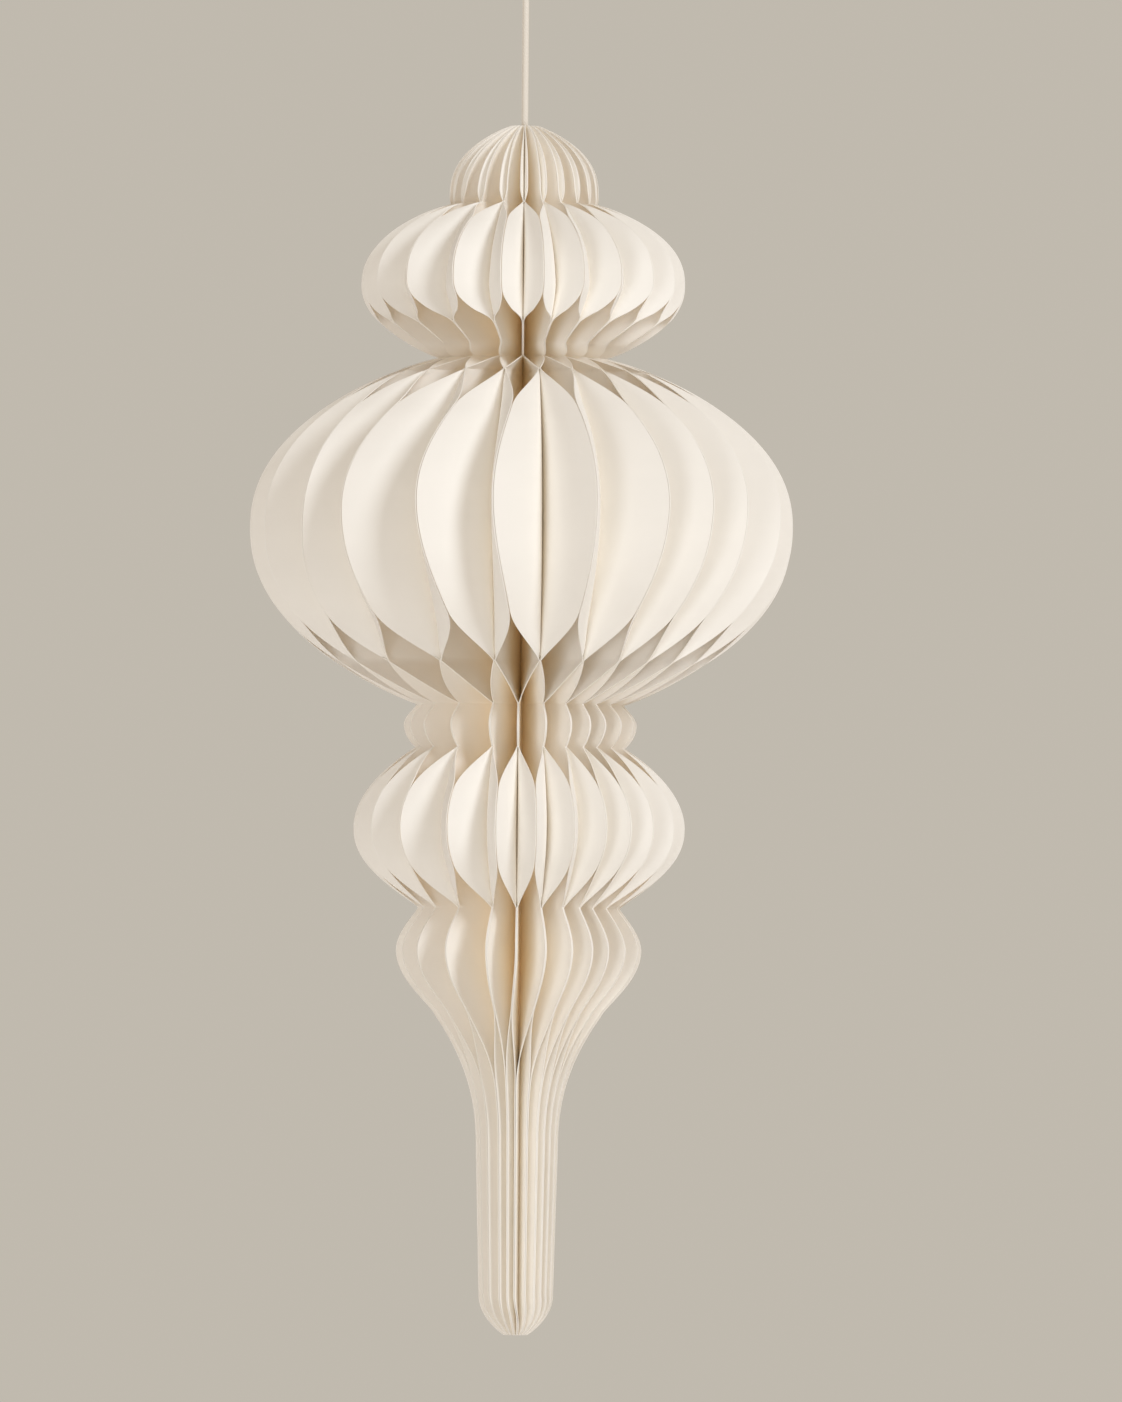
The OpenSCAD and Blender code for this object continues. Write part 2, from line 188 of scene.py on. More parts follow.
# The camera: focal length and sensor in millimetres, reach and place in metres, turn up and roll
CAMERA_LENS = 372.5
CAMERA_SENSOR = 36
CAMERA_REACH = 60
CAMERA_PLACE = (0.0168, -6, -0.4635)
CAMERA_PITCH = math.radians(1.18)
CAMERA_ROLL = 0.0077

# The soft round lamps: colour, turn to the right of the camera and height as an angle, then
# their width and distance and the floor's radius in metres
LAMPS = {
    "key": ((0.93, 0.965, 1.0), math.radians(46), math.radians(27)),
    "fill": ((0.93, 0.965, 1.0), math.radians(-24), math.radians(-15)),
    "back": ((0.97, 0.985, 1.0), math.radians(205), math.radians(16)),
}
LAMP_WIDTH = 1.5
LAMP_DISTANCE = 4.0
FLOOR_R, FLOOR_SIDES = 12, 96

# Pale card passes most light on, so light is followed deep into the cells
PAPER_BOUNCES = 32

# Points of the cord's path, and steps between two points of the loop's route
CORD_POINTS = 33
LOOP_STEPS = 5

# The knot: turns of the cord round the strands, points along them, radius of the tucked ends
# in millimetres, and the power that keeps the turns wide between
KNOT_TURNS = 2.6
KNOT_STEPS = 96
KNOT_TUCK_R = 0.6
KNOT_FULLNESS = 0.35

# Left side of the loop in millimetres from its top down; the right side mirrors it
LOOP_ROUTE = [
    (0, 1.4), (-2.8, 0.8), (-5.4, -1.2), (-7.4, -4.4), (-8.5, -8.6), (-8.4, -13.2),
    (-7.4, -17.8), (-5.8, -22.4), (-4.0, -26.6), (-2.4, -30), (-1.7, -32.6), (-1.7, -34),
]


class PaperSettings(bpy.types.PropertyGroup):
    thickness: FloatProperty(
        name="Paper thickness", description="Thickness of the card", default=0.35 * MM, unit="LENGTH")
    glue_gap: FloatProperty(
        name="Glue", description="Thickness of the glue between two leaves", default=0.06 * MM,
        unit="LENGTH")
    flare: FloatProperty(
        name="Flare", description="How late a leaf curves away from its crease", default=2.5)
    face_colour: FloatVectorProperty(
        name="Face", description="Colour of the card", default=(0.974, 0.96, 0.933), subtype="COLOR")
    # Painted shade: the warmer, darker colour mixed into the card down in its creases, standing in for the
    # shade and warm bounced light there
    crease_shade_colour: FloatVectorProperty(
        name="Creases", description="Colour of the card down in the creases", default=(0.98, 0.935, 0.845),
        subtype="COLOR")
    # Paler than the face: partly the cut fibres' own colour, partly a painted highlight along the rims
    cut_edge_and_highlight_colour: FloatVectorProperty(
        name="Cut edge", description="Colour of the cut edge", default=(0.985, 0.975, 0.955),
        subtype="COLOR")


class CordSettings(bpy.types.PropertyGroup):
    diameter: FloatProperty(
        name="Cord diameter", description="Diameter of the hanging cord", default=CORD_HIGH.x - CORD_LOW.x,
        unit="LENGTH")
    sides: IntProperty(name="Cord sides", description="Flats round the cord", default=24)
    colour: FloatVectorProperty(
        name="Cord", description="Colour of the cord", default=(0.84, 0.8, 0.74), subtype="COLOR")
    binding_colour: FloatVectorProperty(
        name="Binding", description="Colour of the glued binding", default=(0.7, 0.62, 0.5),
        subtype="COLOR")


class StageSettings(bpy.types.PropertyGroup):
    floor_colour: FloatVectorProperty(
        name="Floor", description="Colour of the floor", default=(0.84, 0.81, 0.77), subtype="COLOR")
    backdrop_colour: FloatVectorProperty(
        name="Backdrop", description="Colour behind the decoration", default=(0.53, 0.49, 0.425),
        subtype="COLOR")
    ambient_colour: FloatVectorProperty(
        name="Ambient", description="Colour of the light from all round", default=(1.0, 0.865, 0.705),
        subtype="COLOR")
    ambient: FloatProperty(
        name="Ambient level", description="Level of the light from all round", default=0.5)
    key_power: FloatProperty(
        name="Key light", description="Power of the soft light from the right", default=64, unit="POWER")
    fill_power: FloatProperty(
        name="Fill light", description="Power of the low light from the front", default=32, unit="POWER")
    back_power: FloatProperty(
        name="Back light", description="Power of the light behind", default=45, unit="POWER")
    floor_drop: FloatProperty(
        name="Floor height", description="Height of the floor below the hook", default=2.4, unit="LENGTH")


def settings(name):
    """The values of one group, as the sidebar shows them."""
    return getattr(bpy.context.scene, name)


def outline(depths):
    """Radius of the sheets' outline at each depth, in millimetres."""
    radii = np.empty_like(depths)
    for (top, upper, bulge, fall), (bottom, lower, *_) in zip(BENDS, BENDS[1:]):
        inside = (depths >= top) & (depths <= bottom)
        along = (depths[inside] - top) / (bottom - top)
        from_wide = along if upper > lower else 1 - along
        narrow, wide = sorted((upper, lower))
        radii[inside] = narrow + (wide - narrow) * (1 - from_wide**bulge) ** fall
    return radii


def smooth(x):
    """A soft step from 0 to 1."""
    x = np.clip(x, 0, 1)
    return x * x * (3 - 2 * x)


def row_depths():
    """Depths of the mesh rows, close together where the outline bends or runs outwards."""
    fine = np.linspace(0, PAPER_H, FINE_STEPS)
    radii = outline(fine)
    run, rise = np.diff(fine), np.diff(radii)
    heading = np.unwrap(np.arctan2(rise, run))
    bend = np.degrees(np.abs(np.diff(heading, prepend=heading[0])))
    effort = np.hypot(run, rise) / ROW_LENGTH + np.minimum(bend, MOST_BEND) / ROW_BEND
    spent = np.concatenate([[0], np.cumsum(effort)])
    marks = {bend_row[0] for bend_row in BENDS} | {NECK_PULL_AT}
    for (top, opening, closing, *_), (bottom, *_) in zip(ZONES, ZONES[1:]):
        marks |= {top, top + opening, bottom - closing, bottom}
    marks = sorted(marks)
    rows = [0.0]
    for start, end in zip(marks, marks[1:]):
        low, high = np.interp([start, end], fine, spent)
        count = max(1, math.ceil(high - low))
        rows += list(np.interp(np.linspace(low, high, count + 1)[1:], spent, fine))
    return np.array(rows)


def zone_turns(depths):
    """Turn of a leaf at its crease, swing of its rim, and radius of the line its crease follows."""
    turn, swing, chord = np.zeros_like(depths), np.zeros_like(depths), outline(depths)
    for zone, (bottom, *_) in zip(ZONES, ZONES[1:]):
        top, opening, closing, above, below, reach, ease_in, ease_out = zone
        inside = (depths >= top) & (depths <= bottom)
        s = depths[inside]
        along = (s - top) / (bottom - top)
        if above < below:
            along = along**ease_in
        else:
            along = 1 - (1 - along) ** ease_out
        if top > WAIST:
            along = smooth(along)
        turn[inside] = above + (below - above) * along
        if not reach:
            continue
        opened = np.sin(np.pi / 2 * np.clip((s - top) / opening, 0, 1)) ** ease_in
        closed = np.sin(np.pi / 2 * np.clip((bottom - s) / closing, 0, 1)) ** ease_out
        if top == SHOULDER:
            closed = closed * smooth((bottom - s) / SAUCER_SETTLE)
        swing[inside] = reach * np.minimum(opened, closed)
        ends = outline(np.array([top, bottom], float))
        chord[inside] = ends[0] + (ends[1] - ends[0]) * (s - top) / (bottom - top)
    return turn, swing, chord


def crease_radius(rim_r, chord):
    """Radius of the crease: on the chord, but always with some of the leaf beyond it."""
    least = np.minimum(LEAST_FLARE, LEAST_SHARE * (rim_r - FOLD_R))
    return rim_r - np.maximum(rim_r - chord, least)


def degrees_at(arc, radius):
    """The angle that an arc takes up at a radius."""
    return np.degrees(arc / radius)


def joint_angle(joint, depths):
    """Angle of the joint between two sheets, out in the paper."""
    k = joint % SHEET_COUNT
    upper, lower, pull = UPPER_LEAN[k], LOWER_LEAN[k], NECK_PULL[k]
    levels = [0, SHOULDER, NECK, WAIST, FOOT, PAPER_H]
    leans = np.interp(depths, levels, [0, upper, upper, lower, lower, 0])
    pulled = np.interp(depths, [SHOULDER, SAUCER], [0, SAUCER_PULL])
    pulled += (1 - SAUCER_PULL) * smooth((depths - SAUCER) / (NECK_PULL_AT - SAUCER))
    pulled *= smooth((NECK_PULL_END - depths) / (NECK_PULL_END - NECK_PULL_AT))
    stem = smooth((depths - STEM_FROM) / (STEM_BY - STEM_FROM))
    stem *= smooth((PAPER_H - depths) / (PAPER_H - FOOT))
    return joint * SHEET_ANGLE + leans + pull * pulled + STEM_PULL.get(k, 0) * stem


def bulb_lean(joint, depths):
    """What the bulb adds to the lean of a joint's rims."""
    along = np.clip((depths - NECK) / (WAIST - NECK), 0, 1)
    return BULB_LEAN[joint % SHEET_COUNT] * np.sin(np.pi * along**BULB_SHIFT) ** 2


def polar(angle, radius):
    """Points in plan from angles in degrees off the front and radii."""
    turned = np.radians(angle)
    return np.stack([radius * np.sin(turned), -radius * np.cos(turned)], axis=-1)


def rotated(points, angle):
    """Points in plan, turned about the spine."""
    turned = np.radians(angle)
    cos, sin = np.cos(turned), np.sin(turned)
    x, y = points[..., 0], points[..., 1]
    return np.stack([x * cos - y * sin, x * sin + y * cos], axis=-1)


def leaf_plan(number, side, depths, half_gap, flare):
    """Plan positions of the rows of one leaf of a sheet, from its fold out to its rim."""
    across = 1 if side == 0 else -1
    turn, swing, chord = zone_turns(depths)
    rim_r = outline(depths)
    crease_r = crease_radius(rim_r, chord)
    own = joint_angle(number + side, depths)
    middle = (joint_angle(number, depths) + joint_angle(number + 1, depths)) / 2

    def angle_at(radius, turned, lean):
        apart = own + lean + across * degrees_at(half_gap, radius)
        together = middle - across * degrees_at(half_gap, radius)
        return apart + (together - apart) * turned

    back_r = FOLD_BACK_R + 0.5 * settings("paper").thickness / MM
    fold = polar((number + side) * SHEET_ANGLE + across * degrees_at(half_gap, back_r), back_r)
    fold = np.broadcast_to(fold, (len(depths), 2))
    rim_base = polar(angle_at(rim_r, turn, 0), rim_r)
    share = ((crease_r - back_r) / (rim_r - back_r))[:, None]
    straight = fold + (rim_base - fold) * share
    held = polar(angle_at(crease_r, turn, 0), crease_r)
    grip = smooth((rim_r - chord - LEAST_FLARE) / GRIP_RUN)[:, None]
    crease = straight + (held - straight) * grip
    lean = bulb_lean(number + side, depths)
    swung = angle_at(rim_r, turn + swing, lean) - angle_at(rim_r, turn, 0)
    plan = [fold + (crease - fold) * k / INNER_STEPS for k in range(INNER_STEPS)]
    for k in range(OUTER_STEPS + 1):
        along = k / OUTER_STEPS
        plan.append(rotated(crease + (rim_base - crease) * along, swung * along**flare))
    return np.stack(plan, axis=1)


def crease_shade_mask(depths):
    """How deep each point of a leaf lies behind its rim and near the spine, from 0 to 1: the mask for the
    painted crease shade.
    """
    _, _, chord = zone_turns(depths)
    rim_r = outline(depths)
    crease_r = crease_radius(rim_r, chord)
    radius = [FOLD_R + (crease_r - FOLD_R) * k / INNER_STEPS for k in range(INNER_STEPS)]
    radius += [crease_r + (rim_r - crease_r) * k / OUTER_STEPS for k in range(OUTER_STEPS + 1)]
    radius = np.stack(radius, axis=1)
    behind = rim_r[:, None] - radius
    return (1 - np.exp(-behind / SHADE_FADE_BEHIND_RIM)) * smooth((SHADE_INSIDE_R - radius) / SHADE_RUN)


def grid_mesh(name, places, closed=False):
    """A mesh of rows and columns of points from Blender's grid, and the order of its points."""
    rows, columns, _ = places.shape
    shape = bmesh.new()
    shape.loops.layers.uv.new("UVMap")
    bmesh.ops.create_grid(shape, x_segments=columns - 1, y_segments=rows - 1, size=0.5, calc_uvs=True)
    spots = np.array([v.co[:2] for v in shape.verts])
    column = np.rint((spots[:, 0] + 0.5) * (columns - 1)).astype(int)
    row = np.rint((spots[:, 1] + 0.5) * (rows - 1)).astype(int)
    steps_x = np.linalg.norm(np.diff(places, axis=1), axis=2).mean(0)
    steps_y = np.linalg.norm(np.diff(places, axis=0), axis=2).mean(1)
    across = np.concatenate([[0], np.cumsum(steps_x)])
    down = np.concatenate([[0], np.cumsum(steps_y)])
    uv = shape.loops.layers.uv.active
    for vert, i, j in zip(shape.verts, row, column):
        vert.co = places[i, j]
        for loop in vert.link_loops:
            loop[uv].uv = (across[j], down[i])
    mesh = bpy.data.meshes.new(name)
    if closed:
        bmesh.ops.remove_doubles(shape, verts=shape.verts, dist=MERGE_DISTANCE)
        bmesh.ops.holes_fill(shape, edges=shape.edges, sides=columns)
    bmesh.ops.recalc_face_normals(shape, faces=shape.faces)
    shape.to_mesh(mesh)
    shape.free()
    return mesh, row * columns + column


def add_object(name, mesh):
    """Puts a mesh into the scene, at the origin."""
    made = bpy.data.objects.new(name, mesh)
    bpy.context.scene.collection.objects.link(made)
    return made


def apply_modifiers(made):
    """Replaces a mesh with what its modifiers make of it."""
    evaluated = made.evaluated_get(bpy.context.evaluated_depsgraph_get())
    finished = bpy.data.meshes.new_from_object(evaluated)
    old = made.data
    made.modifiers.clear()
    made.data = finished
    bpy.data.meshes.remove(old)
    finished.name = made.name


def grain_group():
    """Fibres and faint clouding of card, from a coordinate."""
    if "card grain" in bpy.data.node_groups:
        return bpy.data.node_groups["card grain"]
    group = bpy.data.node_groups.new("card grain", "ShaderNodeTree")
    sockets = group.interface
    sockets.new_socket("Place", in_out="INPUT", socket_type="NodeSocketVector")
    sockets.new_socket("Fineness", in_out="INPUT", socket_type="NodeSocketFloat")
    sockets.new_socket("Clouding", in_out="OUTPUT", socket_type="NodeSocketFloat")
    sockets.new_socket("Height", in_out="OUTPUT", socket_type="NodeSocketFloat")
    nodes, links = group.nodes, group.links
    entry, leave = nodes.new("NodeGroupInput"), nodes.new("NodeGroupOutput")
    clouds = nodes.new("ShaderNodeTexNoise")
    clouds.inputs["Scale"].default_value = CLOUD_FINENESS
    clouds.inputs["Detail"].default_value = CLOUD_DETAIL
    fibres = nodes.new("ShaderNodeTexNoise")
    fibres.inputs["Detail"].default_value = FIBRE_DETAIL
    fibres.inputs["Roughness"].default_value = FIBRE_ROUGHNESS
    links.new(entry.outputs["Place"], clouds.inputs["Vector"])
    links.new(entry.outputs["Place"], fibres.inputs["Vector"])
    links.new(entry.outputs["Fineness"], fibres.inputs["Scale"])
    links.new(clouds.outputs["Fac"], leave.inputs["Clouding"])
    links.new(fibres.outputs["Fac"], leave.inputs["Height"])
    return group


def new_material(name, colour, roughness):
    """A matt material, with its nodes, its links and its shader."""
    made = bpy.data.materials.new(name)
    made.use_nodes = True
    shader = made.node_tree.nodes["Principled BSDF"]
    shader.inputs["Base Color"].default_value = (*colour, 1)
    shader.inputs["Roughness"].default_value = roughness
    shader.inputs["Specular IOR Level"].default_value = SHINE
    return made, made.node_tree.nodes, made.node_tree.links, shader


def coordinates(nodes, kind):
    """The coordinates of a material: UV along the piece, or Object."""
    return nodes.new("ShaderNodeTexCoord").outputs[kind]


def add_bump(nodes, links, shader, height, strength):
    """Raises a height on a material."""
    bump = nodes.new("ShaderNodeBump")
    bump.inputs["Strength"].default_value = strength
    bump.inputs["Distance"].default_value = RELIEF
    links.new(height, bump.inputs["Height"])
    links.new(bump.outputs["Normal"], shader.inputs["Normal"])


def grained_material(name, colour, finish, kind="Object"):
    """A material with clouding and fibres, with its nodes, its links and the mix of its colour."""
    roughness, fineness, relief = finish
    made, nodes, links, shader = new_material(name, colour, roughness)
    grain = nodes.new("ShaderNodeGroup")
    grain.node_tree = grain_group()
    grain.inputs["Fineness"].default_value = fineness
    links.new(coordinates(nodes, kind), grain.inputs["Place"])
    cloud = nodes.new("ShaderNodeMix")
    cloud.data_type = "RGBA"
    cloud.blend_type = "MULTIPLY"
    cloud.inputs["Factor"].default_value = 1
    cloud.inputs["A"].default_value = (*colour, 1)
    spread = nodes.new("ShaderNodeMapRange")
    spread.inputs["To Min"].default_value = CLOUD_LOW
    spread.inputs["To Max"].default_value = CLOUD_HIGH
    links.new(grain.outputs["Clouding"], spread.inputs["Value"])
    links.new(spread.outputs["Result"], cloud.inputs["B"])
    links.new(cloud.outputs["Result"], shader.inputs["Base Color"])
    add_bump(nodes, links, shader, grain.outputs["Height"], relief)
    return made, nodes, links, cloud


def card_material():
    """Ivory card with fine fibres, with warm shade painted into its colour down in its creases."""
    paper = settings("paper")
    made, nodes, links, cloud = grained_material("ivory card", paper.face_colour, CARD_FINISH, "UV")
    # The depth of each point mixes in the painted crease shade
    depth = nodes.new("ShaderNodeAttribute")
    depth.attribute_name = "depth"
    ramp = nodes.new("ShaderNodeMapRange")
    ramp.inputs["From Min"].default_value = SHADE_MASK_FROM
    ramp.interpolation_type = "SMOOTHSTEP"
    painted_shade_mix = nodes.new("ShaderNodeMix")
    painted_shade_mix.data_type = "RGBA"
    painted_shade_mix.inputs["A"].default_value = (*paper.face_colour, 1)
    painted_shade_mix.inputs["B"].default_value = (*paper.crease_shade_colour, 1)
    links.new(depth.outputs["Fac"], ramp.inputs["Value"])
    links.new(ramp.outputs["Result"], painted_shade_mix.inputs["Factor"])
    links.new(painted_shade_mix.outputs["Result"], cloud.inputs["A"])
    return made


def edge_material():
    """The paler cut through the card: partly the cut fibres' own colour, partly a painted highlight along
    the rims.
    """
    made, *_ = grained_material("cut edge", settings("paper").cut_edge_and_highlight_colour, EDGE_FINISH)
    return made


def add_sheet(number, name, rows, depth, materials):
    """One folded sheet: a grid across both leaves and down the whole height, given a thickness."""
    paper = settings("paper")
    thickness, glue = paper.thickness / MM, paper.glue_gap / MM
    half_gap = (thickness + glue) / 2
    left = leaf_plan(number, 0, rows, half_gap, paper.flare)
    right = leaf_plan(number, 1, rows, half_gap, paper.flare)
    back_r = FOLD_BACK_R + thickness / 2
    fold = polar((number + 0.5) * SHEET_ANGLE, back_r)
    fold = np.broadcast_to(fold, (len(rows), 1, 2))
    plan = np.concatenate([left[:, ::-1], fold, right], axis=1)
    heights = np.broadcast_to((CROWN_Z - rows)[:, None, None], (*plan.shape[:2], 1))
    places = np.concatenate([plan, heights], axis=2) * MM
    mesh, order = grid_mesh(name, places)
    # Depth of each point, which sets the painted crease shade; full at the fold
    hidden = np.concatenate([depth[:, ::-1], np.ones((len(rows), 1)), depth], axis=1)
    layer = mesh.attributes.new("depth", "FLOAT", "POINT")
    layer.data.foreach_set("value", hidden.reshape(-1)[order].astype(np.float32))
    made = add_object(name, mesh)
    for material in materials:
        mesh.materials.append(material)
    wall = made.modifiers.new("card", "SOLIDIFY")
    wall.thickness = paper.thickness
    wall.offset = 0
    wall.use_even_offset = True
    wall.material_offset_rim = 1
    apply_modifiers(made)
    made.data.polygons.foreach_set("use_smooth", [True] * len(made.data.polygons))
    made.data.set_sharp_from_angle(angle=SHARP_CARD)
    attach(made, "root")
    return made


def tube_places(path, radius, sides, axis=(0.0, 1.0, 0.0)):
    """Rings of points in metres round a path in millimetres that never runs along the axis."""
    path = np.array(path, float)
    ahead = np.gradient(path, axis=0)
    ahead /= np.linalg.norm(ahead, axis=1)[:, None]
    side = np.cross(np.broadcast_to(axis, ahead.shape), ahead)
    side /= np.linalg.norm(side, axis=1)[:, None]
    up = np.cross(ahead, side)
    turns = np.linspace(0, 2 * np.pi, sides + 1)
    ring = np.cos(turns)[:, None, None] * side + np.sin(turns)[:, None, None] * up
    return ((path + radius * ring).transpose(1, 0, 2)) * MM


def smoothed(path, per_step):
    """More points along a path, on a smooth curve through the given ones."""
    points = [Vector(p) for p in path]
    out = []
    for i in range(len(points) - 1):
        before = points[max(0, i - 1)]
        after = points[min(len(points) - 1, i + 2)]
        start, end = points[i], points[i + 1]
        for k in range(per_step):
            t = k / per_step
            out.append(
                0.5 * ((2 * start) + (end - before) * t
                       + (2 * before - 5 * start + 4 * end - after) * t * t
                       + (3 * start - before - 3 * end + after) * t**3))
    out.append(points[-1])
    return [tuple(p) for p in out]


def cord_material():
    """Twisted cotton: slanting bands along the cord."""
    made, nodes, links, shader = new_material("white cord", settings("cord").colour, CORD_ROUGHNESS)
    shader.inputs["Sheen Weight"].default_value = CORD_SHEEN
    wave = nodes.new("ShaderNodeTexWave")
    wave.wave_type = "BANDS"
    wave.bands_direction = "DIAGONAL"
    wave.inputs["Scale"].default_value = TWIST_FINENESS
    wave.inputs["Distortion"].default_value = 0
    links.new(coordinates(nodes, "UV"), wave.inputs["Vector"])
    add_bump(nodes, links, shader, wave.outputs["Fac"], TWIST_RELIEF)
    return made


def finish_cord_piece(made, material):
    """Gives the cord, its knot or its loop the material and lets it ride on the body."""
    made.data.materials.append(material)
    made.data.polygons.foreach_set("use_smooth", [True] * len(made.data.polygons))
    made.data.set_sharp_from_angle(angle=SHARP_CORD)
    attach(made, "root")


class DECORATION_OT_stage(bpy.types.Operator):
    """Sets the camera, the lights, the floor and the backdrop"""

    bl_idname = "decoration.stage"
    bl_label = "Set the stage"

    def execute(self, context):
        stage = settings("stage")
        add_camera()
        add_floor(stage)
        for name, (colour, azimuth, elevation) in LAMPS.items():
            add_lamp(name, colour, getattr(stage, f"{name}_power"), azimuth, elevation)
        add_backdrop(stage)
        context.scene.view_settings.view_transform = "Standard"
        context.scene.cycles.diffuse_bounces = PAPER_BOUNCES
        context.scene.cycles.max_bounces = PAPER_BOUNCES
        return {"FINISHED"}


def add_camera():
    """Looks at the decoration from the front, level with its lower half and six metres away."""
    lens = bpy.data.cameras.new("camera")
    lens.lens = CAMERA_LENS
    lens.sensor_width = CAMERA_SENSOR
    lens.clip_end = CAMERA_REACH
    camera = bpy.data.objects.new("camera", lens)
    bpy.context.scene.collection.objects.link(camera)
    turned = Matrix.Rotation(math.pi / 2 + CAMERA_PITCH, 4, "X") @ Matrix.Rotation(CAMERA_ROLL, 4, "Z")
    camera.matrix_world = Matrix.Translation(CAMERA_PLACE) @ turned
    bpy.context.scene.camera = camera


def add_floor(stage):
    """A wide round floor below the hung decoration."""
    shape = bmesh.new()
    bmesh.ops.create_circle(shape, cap_ends=True, segments=FLOOR_SIDES, radius=FLOOR_R)
    bmesh.ops.translate(shape, vec=(0, 0, -stage.floor_drop), verts=shape.verts)
    mesh = bpy.data.meshes.new("floor")
    shape.to_mesh(mesh)
    shape.free()
    floor = add_object("floor", mesh)
    mesh.materials.append(floor_material(stage.floor_colour))


def floor_material(colour):
    """A matt floor that is clear from below, so that it never hides the decoration."""
    made, nodes, links, shader = new_material("floor", colour, roughness=0.9)
    clear, mixed = nodes.new("ShaderNodeBsdfTransparent"), nodes.new("ShaderNodeMixShader")
    side = nodes.new("ShaderNodeNewGeometry")
    links.new(side.outputs["Backfacing"], mixed.inputs["Fac"])
    links.new(shader.outputs["BSDF"], mixed.inputs[1])
    links.new(clear.outputs["BSDF"], mixed.inputs[2])
    links.new(mixed.outputs["Shader"], nodes["Material Output"].inputs["Surface"])
    return made


def add_lamp(name, colour, power, azimuth, elevation):
    """A round soft light that looks at the middle of the paper."""
    lamp = bpy.data.lights.new(name, "AREA")
    lamp.shape = "DISK"
    lamp.size = LAMP_WIDTH
    lamp.energy = power
    lamp.color = colour
    made = bpy.data.objects.new(name, lamp)
    bpy.context.scene.collection.objects.link(made)
    aim = Vector((0, 0, (PAPER_LOW.z + PAPER_HIGH.z) / 2))
    level = math.cos(elevation)
    away = Vector((math.sin(azimuth) * level, -math.cos(azimuth) * level, math.sin(elevation)))
    made.location = aim + away * LAMP_DISTANCE
    made.rotation_euler = away.to_track_quat("Z", "Y").to_euler()
    made.visible_camera = False


def add_backdrop(stage):
    """A plain colour behind, and plain light from all round."""
    world = bpy.data.worlds.new("backdrop")
    bpy.context.scene.world = world
    world.use_nodes = True
    nodes, links = world.node_tree.nodes, world.node_tree.links
    nodes.clear()
    seen, round_about = nodes.new("ShaderNodeBackground"), nodes.new("ShaderNodeBackground")
    seen.inputs["Color"].default_value = (*stage.backdrop_colour, 1)
    seen.inputs["Strength"].default_value = 1
    round_about.inputs["Color"].default_value = (*stage.ambient_colour, 1)
    round_about.inputs["Strength"].default_value = stage.ambient
    path = nodes.new("ShaderNodeLightPath")
    either, any_of_three = nodes.new("ShaderNodeMath"), nodes.new("ShaderNodeMath")
    either.operation = any_of_three.operation = "MAXIMUM"
    mixed, out = nodes.new("ShaderNodeMixShader"), nodes.new("ShaderNodeOutputWorld")
    links.new(path.outputs["Is Camera Ray"], either.inputs[0])
    links.new(path.outputs["Is Glossy Ray"], either.inputs[1])
    links.new(either.outputs["Value"], any_of_three.inputs[0])
    links.new(path.outputs["Is Transmission Ray"], any_of_three.inputs[1])
    links.new(any_of_three.outputs["Value"], mixed.inputs["Fac"])
    links.new(round_about.outputs["Background"], mixed.inputs[1])
    links.new(seen.outputs["Background"], mixed.inputs[2])
    links.new(mixed.outputs["Shader"], out.inputs["Surface"])


class DECORATION_OT_cord(bpy.types.Operator):
    """Makes the taut cord, its knot and the loop above it"""

    bl_idname = "decoration.cord"
    bl_label = "Hang the cord"

    def execute(self, context):
        cord = settings("cord")
        material = cord_material()
        radius = cord.diameter / MM / 2
        top, bottom = CORD_HIGH.z / MM, CORD_LOW.z / MM
        path = [(0, 0, z) for z in np.linspace(top, bottom, CORD_POINTS)]
        mesh, _ = grid_mesh("cord", tube_places(path, radius, cord.sides), closed=True)
        strand = add_object("cord", mesh)
        finish_cord_piece(strand, material)
        knot = add_knot(radius, cord.sides, material)
        loop = add_loop(radius, cord.sides, material)
        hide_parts("hanging_cord")
        return {"FINISHED"}


def add_knot(radius, sides, material):
    """Turns of cord wrapped round the strands, with both ends tucked in."""
    middle = (KNOT_LOW.z + KNOT_HIGH.z) / 2 / MM
    wide = (KNOT_HIGH.x - KNOT_LOW.x) / 2 / MM - radius
    rise = (KNOT_HIGH.z - KNOT_LOW.z) / MM - 2 * radius
    path = []
    for k in range(KNOT_STEPS + 1):
        along = k / KNOT_STEPS
        turned = 2 * math.pi * KNOT_TURNS * along
        reach = KNOT_TUCK_R + (wide - KNOT_TUCK_R) * math.sin(math.pi * along) ** KNOT_FULLNESS
        path.append((reach * math.sin(turned), -reach * math.cos(turned), middle + rise * (0.5 - along)))
    # The rings are worked out from the lower end, which sets the way round they run
    places = tube_places(path[::-1], radius, sides, axis=(0.0, 0.0, 1.0))[::-1]
    mesh, _ = grid_mesh("knot", places, closed=True)
    knot = add_object("knot", mesh)
    finish_cord_piece(knot, material)
    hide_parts("loop_knot")
    return knot


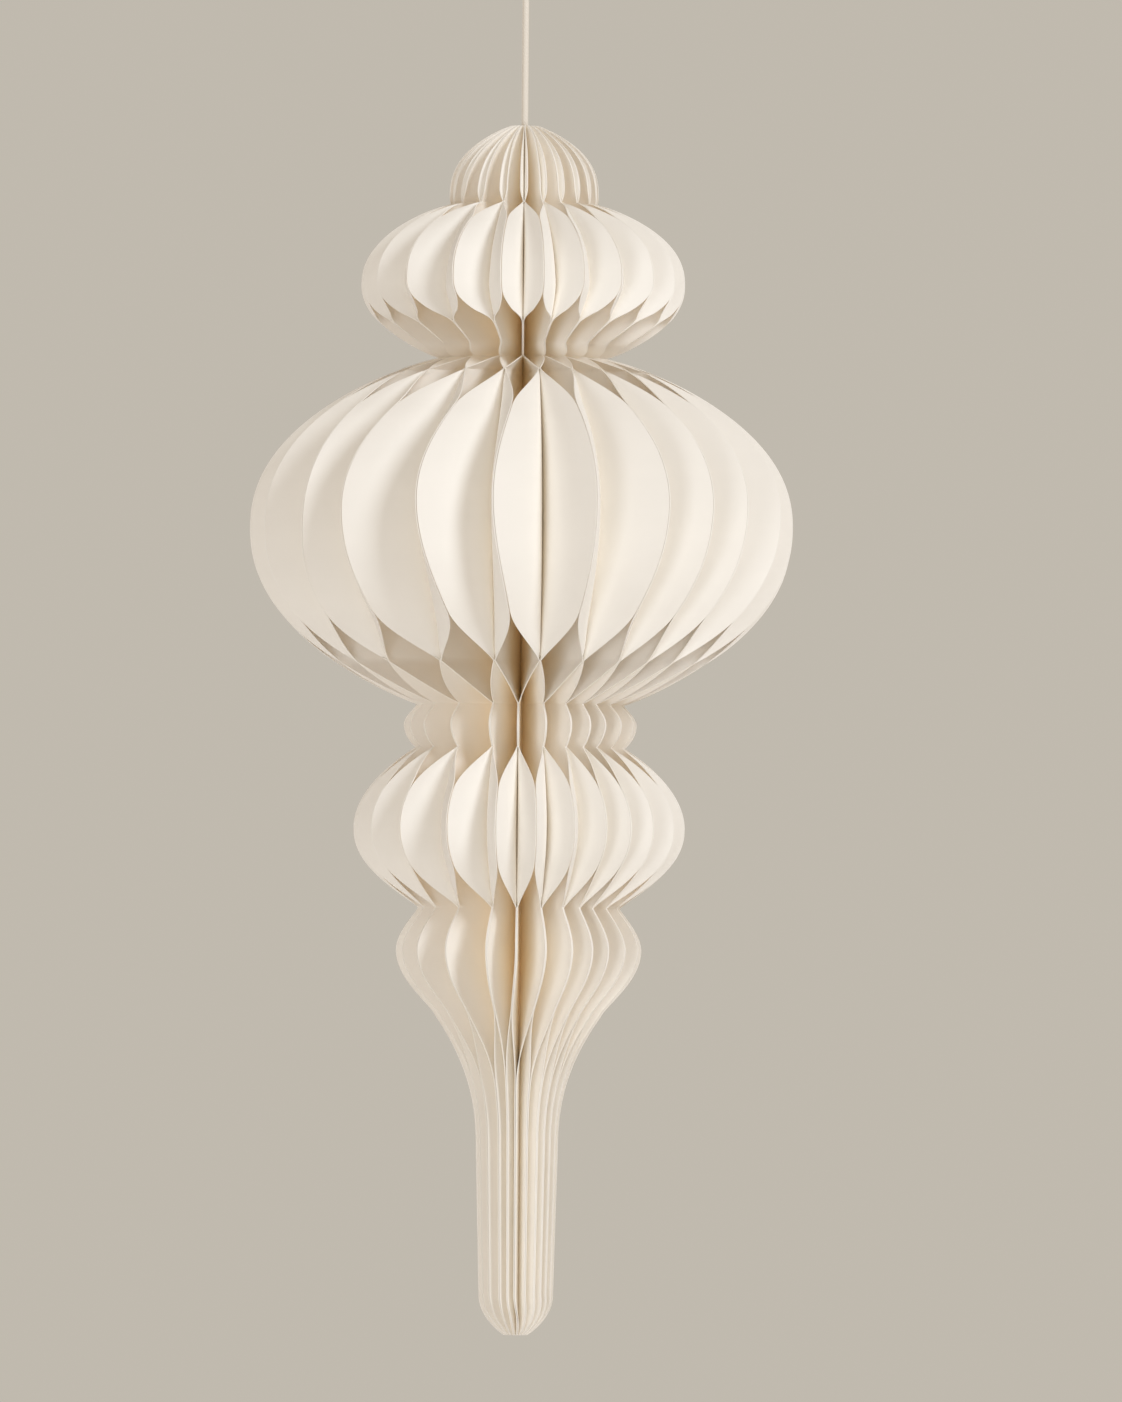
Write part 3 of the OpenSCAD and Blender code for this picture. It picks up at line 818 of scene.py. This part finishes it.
def add_loop(radius, sides, material):
    """The loop above the knot, whose inside top is the origin."""
    left = [(x, 0, z) for x, z in LOOP_ROUTE]
    right = [(-x, 0, z) for x, z in LOOP_ROUTE[1:]]
    path = smoothed(left[::-1] + right, LOOP_STEPS)
    mesh, _ = grid_mesh("loop", tube_places(path, radius, sides), closed=True)
    loop = add_object("loop", mesh)
    finish_cord_piece(loop, material)
    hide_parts("hanging_loop")
    return loop


class DECORATION_OT_sheets(bpy.types.Operator):
    """Makes the folded sheets of card and fans them round the spine"""

    bl_idname = "decoration.sheets"
    bl_label = "Fold the sheets"

    def execute(self, context):
        materials = [card_material(), edge_material()]
        rows = row_depths()
        # Depth of each point, for the painted crease shade
        depth = crease_shade_mask(rows)
        for number, name in enumerate(SHEET_NAMES):
            made = add_sheet(number, name.replace("sheet", "card"), rows, depth, materials)
            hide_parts(name)
        return {"FINISHED"}


class DECORATION_OT_binding(bpy.types.Operator):
    """Finishes the glued binding down the backs of the folds"""

    bl_idname = "decoration.binding"
    bl_label = "Glue the binding"

    def execute(self, context):
        made, *_ = grained_material("glued binding", settings("cord").binding_colour, BINDING_FINISH)
        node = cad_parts["spine_binding"]
        node.data.materials.clear()
        node.data.materials.append(made)
        return {"FINISHED"}


class DECORATION_PT_sidebar(bpy.types.Panel):
    """Lists the pieces of the decoration"""

    bl_label = "Decoration"
    bl_idname = "DECORATION_PT_sidebar"
    bl_space_type = "VIEW_3D"
    bl_region_type = "UI"
    bl_category = "Decoration"

    def draw(self, context):
        for step in STEPS:
            self.layout.operator(step.bl_idname)
        for group in GROUPS:
            held = settings(group)
            for name in held.__annotations__:
                self.layout.prop(held, name)


GROUPS = {"paper": PaperSettings, "cord": CordSettings, "stage": StageSettings}
STEPS = [DECORATION_OT_stage, DECORATION_OT_cord, DECORATION_OT_sheets, DECORATION_OT_binding]
CLASSES = [*GROUPS.values(), *STEPS, DECORATION_PT_sidebar]


def register():
    for made in CLASSES:
        bpy.utils.register_class(made)
    for name, group in GROUPS.items():
        setattr(bpy.types.Scene, name, PointerProperty(type=group))


def unregister():
    for name in GROUPS:
        delattr(bpy.types.Scene, name)
    for made in reversed(CLASSES):
        bpy.utils.unregister_class(made)


def main():
    """Makes the whole scene."""
    register()
    for step in STEPS:
        group, name = step.bl_idname.split(".")
        getattr(getattr(bpy.ops, group), name)()


if __name__ == "__main__":
    main()
